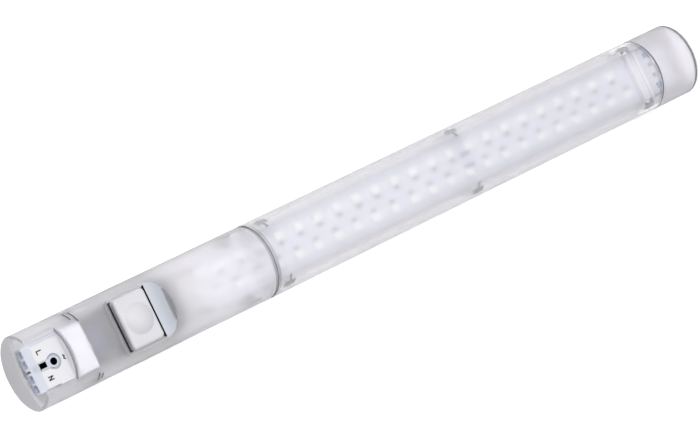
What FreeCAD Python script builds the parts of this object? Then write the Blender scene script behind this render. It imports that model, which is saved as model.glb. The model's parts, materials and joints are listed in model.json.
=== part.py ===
"""LED tube lamp for a control cabinet: a round plastic housing, a mains terminal, a push switch,
a driver board and a long strip of LEDs behind a clip-in lens.

Frame: the origin is the middle of the tube. +X runs to the closed end, -X to the terminal,
+Z is the side the light leaves, and +Y completes the right-handed frame. Units are millimetres.
"""
import FreeCAD, Part
import math
import os

V = FreeCAD.Vector

# ---- Housing -----------------------------------------------------------------------------------
LENGTH = 351.0
OUTER_R = 16.0
FRONT_SHELL_R = 15.8
WALL = 1.5
INNER_R = OUTER_R - WALL
LEFT_END = -LENGTH / 2
RIGHT_END = LENGTH / 2
END_CAP_LENGTH = 21.0
CAP_SEAM = RIGHT_END - END_CAP_LENGTH
LENS_SEAM = -62.7
SEAM_GROOVE = 1.4
CAP_SEAM_GAP = 0.7
RIM_LINE = (173.6, 174.4)
RIM_LINE_DEPTH = 0.15
TONGUE = 2.9
LIP_OUTER_R = 15.15
LIP_HEIGHT = 1.5
FIT_GAP = 0.1
SPIGOT_LENGTH = 3.0
SPIGOT_OUTER_R = INNER_R - FIT_GAP
SPIGOT_INNER_R = 13.3
SPIGOT_TOP = -1.2

# ---- Terminal compartment ----------------------------------------------------------------------
FLAT_Z = 10.3
COMPARTMENT_END = -161.2
BULKHEAD = 1.3
END_WALL_ARC_R = 25.0
END_WALL_ARC_DIP = -4.5
BLOCK_LEFT = LEFT_END + 2.0
BLOCK_RIGHT = -150.0
BLOCK_BOTTOM = -5.0
PLATE_THICKNESS = 1.2
PLATE_RIGHT = -150.0
PLATE_SIDE_LOW = -9.9
PLATE_SIDE_HIGH = 8.3
PLATE_STEP_X = -168.0
PLATE_STEP = 0.5
BLOCK_SIDE_LOW = -9.9
BLOCK_SIDE_HIGH = 9.4
ENTRY_Y = (7.0, 2.9, -3.5, -7.6)
ENTRY_Z = -1.7
ENTRY_R = 1.5
FUNNEL_WIDTH = 3.3
FUNNEL_HEIGHT = 5.0
FUNNEL_DEPTH = 2.0
BORE_END = -166.0
CAVITY_L = (1.6, 8.6)
CAVITY_N = (-9.2, -2.6)
CAVITY_Z = (-3.8, 6.9)
BAR_THICKNESS = 0.8
SCREW_X = -166.9
SCREW_Y = -0.5
SCREW_HEAD_R = 1.4
SCREW_SHANK_R = 1.0
SCREW_SEAT_Z = 3.0
MARK_STROKE = 0.46
GUIDE_RIB_X = (-173.0, -158.0)
GUIDE_RIB_Z = (5.0, 9.8)

# ---- Switch ------------------------------------------------------------------------------------
RECESS_LEFT = -139.5
RECESS_RIGHT = -112.0
RECESS_CORNER_R = 6.0
SWITCH_X = -125.8
CAP_LENGTH = 15.1
CAP_WIDTH = 21.6
CAP_TOP = 11.4
CAP_SKIRT_Z = 8.0
CAP_WALL = 1.5
CAP_CORNER_R = 1.8
CAP_EDGE_R = 1.3
DOME_R = 6.4
DOME_HEIGHT = 2.6
CAP_GAP_LEFT = 2.2
CAP_GAP_RIGHT = 0.8
CAP_GAP_Y = 0.4
TRAVEL = 2.2
SWITCH_BODY = (11.6, 18.0)
SWITCH_BODY_Z = (-3.0, 6.0)
PLUNGER_R = 2.5
RUNNING_GAP = 0.05
FLANGE_Z = (3.2, 4.4)
SPRING_FLOOR_Z = -1.5
BRIDGE_THICKNESS = 0.4
CONTACT_Z = FLANGE_Z[0] - BRIDGE_THICKNESS - TRAVEL - RUNNING_GAP

# ---- Boards ------------------------------------------------------------------------------------
BOARD = 1.6
LED_BOARD_TOP = 1.0
LED_BOARD_HALF = 11.0
LED_BOARD_LEFT = -92.0
LED_BOARD_JOINT = 52.5
LED_BOARD_RIGHT = 149.2
LED_PITCH = 10.3
LED_ROW_Y = 5.35
LED_ROW_STARTS = ((LED_ROW_Y, -88.0), (-LED_ROW_Y, -82.8))
LEDS_PER_ROW = 23
LED_SIZE = (4.2, 3.6, 1.1)
RESISTOR_Y = 2.2
RESISTOR_SIZE = (3.2, 1.4, 0.6)
DRIVER_LEFT = -146.0
DRIVER_RIGHT = -94.0
DRIVER_HALF = 10.8
DRIVER_TOP = -7.0
END_BOARD_LEFT = 156.0
END_BOARD_RIGHT = 170.5
END_BOARD_HALF = 10.2
END_PARTS_X = 161.4
RAIL_THICKNESS = 1.5

# ---- Lens hooks --------------------------------------------------------------------------------
HOOK_X = (-55.0, 47.0, 146.6)
HOOK_HALF_LENGTH = 2.9
FRONT_HOOK_X = (-151.0, -72.0)
HOOK_Y = (12.6, 14.0)
HOOK_Z = (-3.0, 6.0)
BARB = 0.9


# ---- Helpers -----------------------------------------------------------------------------------
def box(x, y, z):
    """A block between the two values of each of x, y and z."""
    return Part.makeBox(x[1] - x[0], y[1] - y[0], z[1] - z[0], V(x[0], y[0], z[0]))


def block(center_x, center_y, z_low, size):
    """A block of a given size that stands on z_low."""
    return box((center_x - size[0] / 2, center_x + size[0] / 2),
               (center_y - size[1] / 2, center_y + size[1] / 2),
               (z_low, z_low + size[2]))


def rod_x(radius, x, y=0.0, z=0.0):
    """A round bar along X between the two values of x."""
    return Part.makeCylinder(radius, x[1] - x[0], V(x[0], y, z), V(1, 0, 0))


def rod_z(radius, x, y, z):
    """A round bar along Z between the two values of z."""
    return Part.makeCylinder(radius, z[1] - z[0], V(x, y, z[0]), V(0, 0, 1))


def fuse(first, *others):
    """One solid from several that touch or overlap."""
    return first.fuse(list(others)).removeSplitter()


def cut(solid, *tools):
    """A solid with each tool taken out of it."""
    return solid.cut(list(tools)).removeSplitter()


def prism_y(points, y):
    """A prism along Y from an outline of (x, z) points."""
    outline = [V(px, y[0], pz) for px, pz in points]
    face = Part.Face(Part.makePolygon(outline + outline[:1]))
    return face.extrude(V(0, y[1] - y[0], 0))


def upper(x, z_low=0.0):
    """All the space in front of z_low between the two values of x."""
    return box(x, (-2 * OUTER_R, 2 * OUTER_R), (z_low, 2 * OUTER_R))


def lower(x, z_high=0.0):
    """All the space behind z_high between the two values of x."""
    return box(x, (-2 * OUTER_R, 2 * OUTER_R), (-2 * OUTER_R, z_high))


def ring_x(outer, inner, x):
    """A tube along X."""
    return cut(rod_x(outer, x), rod_x(inner, (x[0] - 1, x[1] + 1)))


def bent_rod(points, radius, bend):
    """A round wire through the points, with an arc of the bend radius at each inner one."""
    edges = []
    start = V(*points[0])
    for here, after in zip(points[1:-1], points[2:]):
        corner, following = V(*here), V(*after)
        incoming = (corner - start).normalize()
        outgoing = (following - corner).normalize()
        turn = incoming.getAngle(outgoing)
        reach = bend * math.tan(turn / 2)
        arc_start = corner - incoming * reach
        arc_end = corner + outgoing * reach
        middle_way = (outgoing - incoming).normalize()
        middle = corner + middle_way * (bend / math.cos(turn / 2) - bend)
        edges.append(Part.LineSegment(start, arc_start).toShape())
        edges.append(Part.Arc(arc_start, middle, arc_end).toShape())
        start = arc_end
    edges.append(Part.LineSegment(start, V(*points[-1])).toShape())
    path = Part.Wire(edges)
    direction = V(*points[1]) - V(*points[0])
    section = Part.Wire(Part.makeCircle(radius, V(*points[0]), direction))
    return path.makePipeShell([section], True, False)


# ---- Housing pieces ----------------------------------------------------------------------------
def front_half_tube(outer_r, x):
    """Half a tube in front of the seam plane, with a rebate that laps over the rear shell's lip."""
    tube = ring_x(outer_r, INNER_R, x).common(upper(x))
    rebate_r = LIP_OUTER_R + FIT_GAP
    rebate = ring_x(rebate_r, INNER_R - 1, x).common(upper(x))
    return cut(tube, rebate.common(lower(x, LIP_HEIGHT + FIT_GAP)))


def hooks(centres):
    """Snap hooks: a leg inside the rear shell with a barb, and a web towards the middle."""
    solids = []
    for center in centres:
        x = (center - HOOK_HALF_LENGTH, center + HOOK_HALF_LENGTH)
        for side in (-1, 1):
            leg_y = sorted(side * value for value in HOOK_Y)
            barb_y = sorted((side * HOOK_Y[1], side * (HOOK_Y[1] + BARB)))
            web_y = sorted((side * (HOOK_Y[0] - 2.4), side * HOOK_Y[0]))
            solids.append(box(x, leg_y, HOOK_Z))
            solids.append(box(x, barb_y, (HOOK_Z[0], HOOK_Z[0] + 0.8)))
            solids.append(box((center - 0.7, center + 0.7), web_y, (LED_BOARD_TOP + 0.2, HOOK_Z[1])))
    return solids


def hook_pockets(centres):
    """The windows in the rear shell that the barbs snap into, and the ways for the legs."""
    pockets = []
    for center in centres:
        x = (center - HOOK_HALF_LENGTH - 0.4, center + HOOK_HALF_LENGTH + 0.4)
        for side in (-1, 1):
            y = sorted((side * (HOOK_Y[1] - 0.1), side * (HOOK_Y[1] + BARB + 0.2)))
            pockets.append(box(x, y, (HOOK_Z[0] - 0.4, HOOK_Z[0] + 1.2)))
            leg_way = sorted((side * (HOOK_Y[0] - 0.2), side * (HOOK_Y[1] + 0.1)))
            pockets.append(box(x, leg_way, (HOOK_Z[0] - 0.4, 0.0)))
    return pockets


def rails(x, y_inner, top):
    """Two ledges along the inside of the housing that carry a board."""
    depth = (top - RAIL_THICKNESS, top)
    pair = []
    for side in (-1, 1):
        y = sorted((side * y_inner, side * OUTER_R))
        pair.append(box(x, y, depth).common(rod_x(INNER_R + WALL / 2, x)))
    return pair


def end_wall():
    """The closing wall at the terminal end. Its front edge dips in an arc below the wire entries."""
    x = (LEFT_END, LEFT_END + WALL)
    disc = rod_x(INNER_R + WALL / 2, x)
    arc_center = END_WALL_ARC_DIP + END_WALL_ARC_R
    scoop = rod_x(END_WALL_ARC_R, (x[0] - 1, x[1] + 1), 0, arc_center)
    return cut(disc.common(lower(x, LIP_HEIGHT)), scoop)


def make_rear_shell():
    x = (LEFT_END, CAP_SEAM)
    tube = ring_x(OUTER_R, INNER_R, x).common(lower(x))
    lip = ring_x(LIP_OUTER_R, INNER_R, x).common(box(x, (-OUTER_R, OUTER_R), (0, LIP_HEIGHT)))
    board_rails = rails((LED_BOARD_LEFT, CAP_SEAM - SPIGOT_LENGTH - 0.2), 9.6, LED_BOARD_TOP - BOARD)
    driver_rails = rails((DRIVER_LEFT, DRIVER_RIGHT), 8.6, DRIVER_TOP - BOARD)
    block_ribs = [box((BLOCK_LEFT + 1, BLOCK_RIGHT - 1), (y - 0.6, y + 0.6), (-13.6, BLOCK_BOTTOM))
                  for y in (-6.4, 6.4)]
    boss = rod_z(2.6, SCREW_X, SCREW_Y, (-15.0, BLOCK_BOTTOM))
    shell = fuse(tube, lip, end_wall(), *board_rails, *driver_rails, *block_ribs, boss)
    pilot = rod_z(SCREW_SHANK_R, SCREW_X, SCREW_Y, (-13.0, BLOCK_BOTTOM + 1))
    pockets = hook_pockets(HOOK_X + FRONT_HOOK_X)
    return cut(shell, pilot, *pockets)


def recess_outline(offset):
    """The finger recess seen from the side: a flat floor and two ends that sweep up. offset grows it."""
    left, right = RECESS_LEFT - offset, RECESS_RIGHT + offset
    floor, radius = FLAT_Z - offset, RECESS_CORNER_R + offset
    top = OUTER_R + 2
    s = radius * (1 - math.sqrt(0.5))
    corners = [
        Part.LineSegment(V(left, 0, top), V(left, 0, floor + radius)),
        Part.Arc(V(left, 0, floor + radius), V(left + s, 0, floor + s), V(left + radius, 0, floor)),
        Part.LineSegment(V(left + radius, 0, floor), V(right - radius, 0, floor)),
        Part.Arc(V(right - radius, 0, floor), V(right - s, 0, floor + s), V(right, 0, floor + radius)),
        Part.LineSegment(V(right, 0, floor + radius), V(right, 0, top)),
        Part.LineSegment(V(right, 0, top), V(left, 0, top)),
    ]
    return Part.Face(Part.Wire([edge.toShape() for edge in corners]))


def recess_block(offset):
    """The recess outline carried right across the housing."""
    face = recess_outline(offset)
    face.translate(V(0, -2 * OUTER_R, 0))
    return face.extrude(V(0, 4 * OUTER_R, 0))


def make_front_shell():
    x = (LEFT_END, LENS_SEAM)
    half_tube = front_half_tube(FRONT_SHELL_R, x)
    inside = rod_x(INNER_R + WALL / 2, x)
    tub = recess_block(WALL).common(inside)
    bulkhead_x = (COMPARTMENT_END, COMPARTMENT_END + BULKHEAD)
    bulkhead = inside.common(upper(bulkhead_x, FLAT_Z + FIT_GAP))
    tongue_x = (LENS_SEAM - 1, LENS_SEAM + TONGUE)
    tongue = ring_x(INNER_R + 0.7, INNER_R, tongue_x).common(upper(tongue_x, LIP_HEIGHT + FIT_GAP))
    snap_hooks = [solid.common(inside) for solid in hooks(FRONT_HOOK_X)]
    ribs = [box(GUIDE_RIB_X, sorted((side * 10.9, side * 11.5)), GUIDE_RIB_Z).common(inside)
            for side in (-1, 1)]
    shell = fuse(half_tube, tub, bulkhead, tongue, *ribs, *snap_hooks)
    open_top = upper((LEFT_END - 1, COMPARTMENT_END), FLAT_Z)
    window_x = (SWITCH_X - CAP_LENGTH / 2 - CAP_GAP_LEFT, SWITCH_X + CAP_LENGTH / 2 + CAP_GAP_RIGHT)
    window_half = CAP_WIDTH / 2 + CAP_GAP_Y
    window = box(window_x, (-window_half, window_half), (FLAT_Z - 3, FLAT_Z + 3))
    return cut(shell, open_top, recess_block(0), window)


def make_lens_cover():
    x = (LENS_SEAM + SEAM_GROOVE, CAP_SEAM - CAP_SEAM_GAP)
    half_tube = front_half_tube(OUTER_R, x)
    lap = (x[0] - 1, LENS_SEAM + TONGUE + FIT_GAP)
    half_tube = cut(half_tube, rod_x(INNER_R + 0.7 + FIT_GAP, lap))
    inside = rod_x(INNER_R + WALL / 2, x)
    snap_hooks = [solid.common(inside) for solid in hooks(HOOK_X)]
    return fuse(half_tube, *snap_hooks)


def make_end_cap():
    outer = rod_x(OUTER_R, (CAP_SEAM, RIGHT_END))
    rim = [edge for edge in outer.Edges
           if abs(edge.BoundBox.XMin - RIGHT_END) < 1e-6 and edge.BoundBox.XLength < 1e-6]
    outer = outer.makeFillet(0.8, rim)
    rim_line = ring_x(OUTER_R + 1, OUTER_R - RIM_LINE_DEPTH, RIM_LINE)
    cup = cut(outer, rod_x(INNER_R, (CAP_SEAM - 1, RIGHT_END - WALL)), rim_line)
    spigot = ring_x(SPIGOT_OUTER_R, SPIGOT_INNER_R, (CAP_SEAM - SPIGOT_LENGTH, CAP_SEAM + 1))
    collar = ring_x(INNER_R + 0.2, SPIGOT_INNER_R, (CAP_SEAM, CAP_SEAM + 1))
    rear_tongue = fuse(spigot, collar).common(lower((CAP_SEAM - SPIGOT_LENGTH, CAP_SEAM + 1), SPIGOT_TOP))
    ledges = rails((END_BOARD_LEFT, RIGHT_END - WALL / 2), 8.8, LED_BOARD_TOP - BOARD)
    return fuse(cup, rear_tongue, *ledges)


# ---- Terminal ----------------------------------------------------------------------------------
def keyhole(radius, half_width, z, x_left=BLOCK_LEFT):
    """A round hole with a straight neck that runs out to the left."""
    neck = box((x_left, SCREW_X), (SCREW_Y - half_width, SCREW_Y + half_width), z)
    return fuse(rod_z(radius, SCREW_X, SCREW_Y, z), neck)


def wire_entry(y):
    """One wire entry: an oval funnel that leads into a round bore."""
    front = (BLOCK_LEFT - 1, BLOCK_LEFT + FUNNEL_DEPTH)
    radius = FUNNEL_WIDTH / 2
    spread = FUNNEL_HEIGHT / 2 - radius
    ends = [rod_x(radius, front, y, ENTRY_Z + side * spread) for side in (-1, 1)]
    middle = box(front, (y - radius, y + radius), (ENTRY_Z - spread, ENTRY_Z + spread))
    bore = rod_x(ENTRY_R, (BLOCK_LEFT, BORE_END + 1), y, ENTRY_Z)
    return ends + [middle, bore]


def make_terminal_housing():
    plate_low = FLAT_Z - PLATE_THICKNESS
    body = box((BLOCK_LEFT, BLOCK_RIGHT), (BLOCK_SIDE_LOW, BLOCK_SIDE_HIGH), (BLOCK_BOTTOM, plate_low))
    tower = keyhole(2.35, 1.8, (plate_low - 1, FLAT_Z - FIT_GAP))
    tools = [solid for y in ENTRY_Y for solid in wire_entry(y)]
    for y in (CAVITY_L, CAVITY_N):
        tools.append(box((BORE_END, BLOCK_RIGHT + 1), y, CAVITY_Z))
    tools.append(rod_z(SCREW_HEAD_R + 0.1, SCREW_X, SCREW_Y, (SCREW_SEAT_Z, FLAT_Z + 1)))
    tools.append(rod_z(SCREW_SHANK_R + 0.1, SCREW_X, SCREW_Y, (BLOCK_BOTTOM - 1, SCREW_SEAT_Z + 1)))
    slot_y = (SCREW_Y - 0.9, SCREW_Y + 1.3)
    tools.append(box((BLOCK_LEFT + 0.4, BLOCK_LEFT + 3.25), slot_y, (3.5, FLAT_Z + 1)))
    tools.append(box((BLOCK_LEFT - 1, BLOCK_LEFT + 3.25), (SCREW_Y - 0.35, SCREW_Y + 0.55),
                     (BLOCK_BOTTOM - 1, 1.0)))
    tools.append(box((BLOCK_LEFT - 1, BLOCK_LEFT + 0.4), (BLOCK_SIDE_LOW - 1, BLOCK_SIDE_HIGH + 1),
                     (BLOCK_BOTTOM - 1, 1.2)))
    tools.append(box((BLOCK_LEFT - 1, PLATE_STEP_X), (BLOCK_SIDE_LOW - 1, BLOCK_SIDE_LOW + PLATE_STEP),
                     (CAVITY_Z[1] + 0.1, plate_low + 1)))
    return cut(fuse(body, tower), *tools)


def make_terminal_plate():
    z = (FLAT_Z - PLATE_THICKNESS, FLAT_Z)
    plate = box((BLOCK_LEFT, PLATE_RIGHT), (PLATE_SIDE_LOW, PLATE_SIDE_HIGH), z)
    upright = [edge for edge in plate.Edges if edge.BoundBox.ZLength > PLATE_THICKNESS / 2]
    plate = plate.makeFillet(0.6, upright)
    opening = keyhole(3.2, 1.85, (z[0] - 1, z[1] + 1), BLOCK_LEFT - 1)
    side_step = box((BLOCK_LEFT - 1, PLATE_STEP_X), (PLATE_SIDE_LOW - 1, PLATE_SIDE_LOW + PLATE_STEP),
                    (z[0] - 1, z[1] + 1))
    return cut(plate, opening, side_step)


def stroke(start, end, width, z):
    """One straight stroke of a printed mark, as a thin bar between two (x, y) points."""
    dx, dy = end[0] - start[0], end[1] - start[1]
    length = math.hypot(dx, dy)
    bar = Part.makeBox(length + width, width, z[1] - z[0], V(-width / 2, -width / 2, 0))
    bar.rotate(V(0, 0, 0), V(0, 0, 1), math.degrees(math.atan2(dy, dx)))
    bar.translate(V(start[0], start[1], z[0]))
    return bar


def mark(center, strokes, z):
    """A mark of joined strokes. Its own up is +X and its own right is -Y."""
    bars = []
    for (u0, v0), (u1, v1) in strokes:
        start = (center[0] + v0, center[1] - u0)
        end = (center[0] + v1, center[1] - u1)
        bars.append(stroke(start, end, MARK_STROKE, z))
    return fuse(*bars) if len(bars) > 1 else bars[0]


def make_terminal_marks():
    z = (FLAT_Z, FLAT_Z + 0.1)
    half, tall = 0.62, 0.95
    letter_l = [((-half, tall), (-half, -tall)), ((-half, -tall), (half, -tall))]
    letter_n = [((-half, -tall), (-half, tall)), ((-half, tall), (half, -tall)),
                ((half, -tall), (half, tall))]
    wave = [((-0.8, -0.2), (-0.4, 0.25)), ((-0.4, 0.25), (0.4, -0.25)), ((0.4, -0.25), (0.8, 0.2))]
    marks = [mark((-171.1, 5.0), letter_l, z), mark((-171.1, -6.0), letter_n, z),
             mark((-162.2, -0.7), wave, z)]
    return Part.makeCompound(marks)


def clamp_spring(y):
    """A strip spring: a fixed leg under the ceiling, a bend, and a leg that presses on the bar."""
    width = (y - 1.3, y + 1.3)
    bend_x, bend_z, outer, inner = -154.5, 4.2, 2.6, 2.1
    bend = Part.makeCylinder(outer, 2.6, V(bend_x, width[0], bend_z), V(0, 1, 0))
    hole = Part.makeCylinder(inner, 2.6, V(bend_x, width[0], bend_z), V(0, 1, 0))
    left_half = box((bend_x - 5, bend_x), width, (bend_z - 5, bend_z + 5))
    fixed_leg = box((-163.0, bend_x), width, (bend_z + inner, bend_z + outer))
    tip_z = CAVITY_Z[0] + BAR_THICKNESS + 0.1
    free_leg = prism_y([(bend_x, bend_z - inner), (bend_x, bend_z - outer), (-164.6, tip_z),
                        (-164.6, tip_z + 0.55)], width)
    return fuse(cut(bend, hole, left_half), fixed_leg, free_leg)


def make_clamp_springs():
    return Part.makeCompound([clamp_spring(y) for y in (7.1, 3.1, -4.1, -7.7)])


def make_contact_bar(cavity):
    """A tinned copper bar on the floor of one pole's cavity, with a solder tail at the right."""
    z = (CAVITY_Z[0], CAVITY_Z[0] + BAR_THICKNESS)
    bar = box((BORE_END + 0.2, BLOCK_RIGHT + 0.6), (cavity[0] + 0.1, cavity[1] - 0.1), z)
    stop = box((-156.4, -155.6), (cavity[0] + 0.1, cavity[1] - 0.1), (z[0], z[1] + 1.6))
    return fuse(bar, stop)


def make_terminal_screw():
    head = rod_z(SCREW_HEAD_R, SCREW_X, SCREW_Y, (SCREW_SEAT_Z, SCREW_SEAT_Z + 1.4))
    shank = rod_z(SCREW_SHANK_R, SCREW_X, SCREW_Y, (-12.0, SCREW_SEAT_Z))
    slot = box((SCREW_X - 2, SCREW_X + 2), (SCREW_Y - 0.25, SCREW_Y + 0.25),
               (SCREW_SEAT_Z + 0.8, SCREW_SEAT_Z + 2))
    return cut(fuse(head, shank), slot)


# ---- Switch ------------------------------------------------------------------------------------
def dome():
    """The round rise in the middle of the button, blended softly into its flat top."""
    sphere_r = (DOME_R ** 2 + DOME_HEIGHT ** 2) / (2 * DOME_HEIGHT)
    blend_r = 1.4
    center_z = DOME_HEIGHT - sphere_r
    reach = math.sqrt((sphere_r + blend_r) ** 2 - (center_z - blend_r) ** 2)
    along = sphere_r / (sphere_r + blend_r)
    touch = V(reach * along, 0, center_z + (blend_r - center_z) * along)
    half_angle = math.atan2(touch.x, touch.z - center_z) / 2
    crown = V(sphere_r * math.sin(half_angle), 0, center_z + sphere_r * math.cos(half_angle))
    touch_angle = math.atan2(touch.z - blend_r, touch.x - reach)
    mid_angle = (touch_angle - math.pi / 2) / 2
    foot_mid = V(reach + blend_r * math.cos(mid_angle), 0, blend_r + blend_r * math.sin(mid_angle))
    edges = [
        Part.LineSegment(V(0, 0, -0.5), V(0, 0, DOME_HEIGHT)).toShape(),
        Part.Arc(V(0, 0, DOME_HEIGHT), crown, touch).toShape(),
        Part.Arc(touch, foot_mid, V(reach, 0, 0)).toShape(),
        Part.LineSegment(V(reach, 0, 0), V(reach, 0, -0.5)).toShape(),
        Part.LineSegment(V(reach, 0, -0.5), V(0, 0, -0.5)).toShape(),
    ]
    solid = Part.Face(Part.Wire(edges)).revolve(V(0, 0, 0), V(0, 0, 1), 360)
    solid.translate(V(SWITCH_X, 0, CAP_TOP))
    return solid


def make_button_cap():
    body = block(SWITCH_X, 0, CAP_SKIRT_Z, (CAP_LENGTH, CAP_WIDTH, CAP_TOP - CAP_SKIRT_Z))
    upright = [edge for edge in body.Edges if edge.BoundBox.ZLength > 1]
    body = body.makeFillet(CAP_CORNER_R, upright)
    top_edges = [edge for edge in body.Edges if edge.BoundBox.ZMin > CAP_TOP - 1e-6]
    body = body.makeFillet(CAP_EDGE_R, top_edges)
    hollow = block(SWITCH_X, 0, CAP_SKIRT_Z - 1,
                   (CAP_LENGTH - 2 * CAP_WALL, CAP_WIDTH - 2 * CAP_WALL, CAP_TOP - CAP_SKIRT_Z - CAP_WALL + 1))
    socket_wall = rod_z(PLUNGER_R + 1.2, SWITCH_X, 0, (CAP_SKIRT_Z + 0.4, CAP_TOP - 1))
    socket = rod_z(PLUNGER_R, SWITCH_X, 0, (CAP_SKIRT_Z - 1, CAP_TOP - CAP_WALL))
    return cut(fuse(cut(body, hollow), socket_wall, dome()), socket)


def make_switch_plunger():
    stem = rod_z(PLUNGER_R, SWITCH_X, 0, (FLANGE_Z[1] - 0.5, CAP_TOP - CAP_WALL))
    flange = rod_z(4.0, SWITCH_X, 0, FLANGE_Z)
    return fuse(stem, flange)


def make_contact_bridge():
    z = FLANGE_Z[0] - BRIDGE_THICKNESS
    strip = block(SWITCH_X, 0, z, (3.6, 14.2, BRIDGE_THICKNESS))
    return strip


def tag(side):
    """One blade of the switch, with the fixed contact at its top."""
    x = (SWITCH_X - 2.4, SWITCH_X + 2.4)
    blade = box(x, sorted((side * 6.6, side * 7.2)), (-6.2, CONTACT_Z - 0.3))
    pad = box((SWITCH_X - 1.8, SWITCH_X + 1.8), sorted((side * 5.2, side * 7.2)),
              (CONTACT_Z - 0.5, CONTACT_Z))
    return fuse(blade, pad)


def make_switch_tags():
    return Part.makeCompound([tag(1), tag(-1)])


def make_switch_body():
    low, high = SWITCH_BODY_Z
    body = block(SWITCH_X, 0, low, (*SWITCH_BODY, high - low))
    inside = block(SWITCH_X, 0, SPRING_FLOOR_Z, (9.2, 15.6, FLANGE_Z[1] + 0.1 - SPRING_FLOOR_Z))
    guide = rod_z(PLUNGER_R + RUNNING_GAP, SWITCH_X, 0, (FLANGE_Z[1], high + 1))
    slots = [box((SWITCH_X - 2.4, SWITCH_X + 2.4), sorted((side * 6.6, side * 7.2)), (low - 1, 0))
             for side in (-1, 1)]
    return cut(body, inside, guide, *slots)


def make_switch_holder():
    """A frame that hangs the switch body under the floor of the recess."""
    plate = block(SWITCH_X, 0, 3.6, (23.0, 21.0, 1.8))
    opening = block(SWITCH_X, 0, 3.0, (*SWITCH_BODY, 4.0))
    legs = []
    for side in (-1, 1):
        legs.append(block(SWITCH_X + side * 10.2, 0, 3.6, (2.6, 19.0, FLAT_Z - WALL - 3.6)))
    frame = fuse(cut(plate, opening), *legs)
    return frame.common(rod_x(INNER_R - 0.1, (SWITCH_X - 20, SWITCH_X + 20)))


def make_switch_spring():
    wire_r, coil_r = 0.3, 2.9
    low = SPRING_FLOOR_Z + wire_r + 0.02
    high = FLANGE_Z[0] - BRIDGE_THICKNESS - wire_r - 0.02
    helix = Part.makeHelix((high - low) / 3.5, high - low, coil_r)
    section = Part.Wire(Part.makeCircle(wire_r, V(coil_r, 0, 0), V(0, 1, 0)))
    coil = Part.Wire(helix).makePipeShell([section], True, True)
    coil.translate(V(SWITCH_X, 0, low))
    return coil


# ---- Driver board ------------------------------------------------------------------------------
def make_driver_board():
    board = box((DRIVER_LEFT, DRIVER_RIGHT), (-DRIVER_HALF, DRIVER_HALF), (DRIVER_TOP - BOARD, DRIVER_TOP))
    return board


def make_film_capacitor():
    body = block(-142.1, 0, DRIVER_TOP, (6.6, 13.0, 11.0))
    edges = [edge for edge in body.Edges if edge.BoundBox.ZMax > DRIVER_TOP + 1]
    return body.makeFillet(0.6, edges)


def make_varistor():
    disc = rod_x(3.5, (-137.4, -133.8), 3.2, DRIVER_TOP + 3.9)
    legs = [box((-135.9, -135.3), (y - 0.3, y + 0.3), (DRIVER_TOP, DRIVER_TOP + 1.2)) for y in (1.9, 4.5)]
    return fuse(disc, *legs)


def make_fuse_link():
    start, end, height = V(-135.6, -9.0, DRIVER_TOP + 1.9), V(-135.6, -2.6, 0), DRIVER_TOP + 1.9
    body = Part.makeCylinder(1.5, end.y - start.y, start, V(0, 1, 0))
    leads = [rod_z(0.3, start.x, y, (DRIVER_TOP, height)) for y in (start.y + 0.5, end.y - 0.5)]
    return fuse(body, *leads)


def make_bridge_rectifier():
    body = block(SWITCH_X, 0, DRIVER_TOP + 0.2, (8.4, 6.4, 2.4))
    legs = [block(SWITCH_X + dx, side * 3.7, DRIVER_TOP, (1.0, 1.4, 0.5))
            for dx in (-2.6, 2.6) for side in (-1, 1)]
    return fuse(body, *legs)


def make_smoothing_capacitor():
    x = (-114.0, -101.0)
    can = rod_x(4.5, x, 5.2, DRIVER_TOP + 4.6)
    groove = ring_x(5.5, 4.15, (x[0] + 1.4, x[0] + 2.1))
    groove.translate(V(0, 5.2, DRIVER_TOP + 4.6))
    return cut(can, groove)


def make_choke_core():
    low = DRIVER_TOP
    return fuse(rod_z(4.5, -107.5, -5.2, (low, low + 1.4)), rod_z(2.0, -107.5, -5.2, (low, low + 8.0)),
                rod_z(4.5, -107.5, -5.2, (low + 6.6, low + 8.0)))


def make_choke_winding():
    low = DRIVER_TOP + 1.4
    return cut(rod_z(3.9, -107.5, -5.2, (low, low + 5.2)), rod_z(2.0, -107.5, -5.2, (low - 1, low + 6)))


def make_driver_chip():
    body = block(-97.9, 3.4, DRIVER_TOP + 0.15, (3.9, 4.9, 1.4))
    legs = [block(-97.9 + side * 2.35, 3.4 + dy, DRIVER_TOP, (1.0, 0.45, 0.5))
            for dy in (-1.9, -0.63, 0.63, 1.9) for side in (-1, 1)]
    return fuse(body, *legs)


def make_driver_small_parts():
    places = ((-98.6, -2.4), (-98.6, -4.8), (-98.6, -7.2), (-117.0, 7.6), (-117.0, 4.6))
    return Part.makeCompound([block(x, y, DRIVER_TOP, (2.0, 1.25, 0.6)) for x, y in places])


# ---- LED boards --------------------------------------------------------------------------------
def led_board(x):
    z = (LED_BOARD_TOP - BOARD, LED_BOARD_TOP)
    return box(x, (-LED_BOARD_HALF, LED_BOARD_HALF), z)


def led_centres(x):
    """The LED places that lie between the two values of x."""
    return [(start + k * LED_PITCH, y) for y, start in LED_ROW_STARTS for k in range(LEDS_PER_ROW)
            if x[0] < start + k * LED_PITCH < x[1]]


def led(x, y):
    """One white LED package with the round cup that holds its chip."""
    package = block(x, y, LED_BOARD_TOP, LED_SIZE)
    top = LED_BOARD_TOP + LED_SIZE[2]
    cup = Part.makeCone(1.1, 1.5, 0.4, V(x, y, top - 0.4))
    return package.cut(cup)


def make_leds(x):
    return Part.makeCompound([led(*place) for place in led_centres(x)])


def make_led_resistors():
    whole = (LED_BOARD_LEFT, LED_BOARD_RIGHT)
    chips = []
    for x, y in led_centres(whole):
        side = 1 if y > 0 else -1
        if abs(x - LED_BOARD_JOINT) > 4.5:
            chips.append(block(x, side * RESISTOR_Y, LED_BOARD_TOP, RESISTOR_SIZE))
    return Part.makeCompound(chips)


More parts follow.
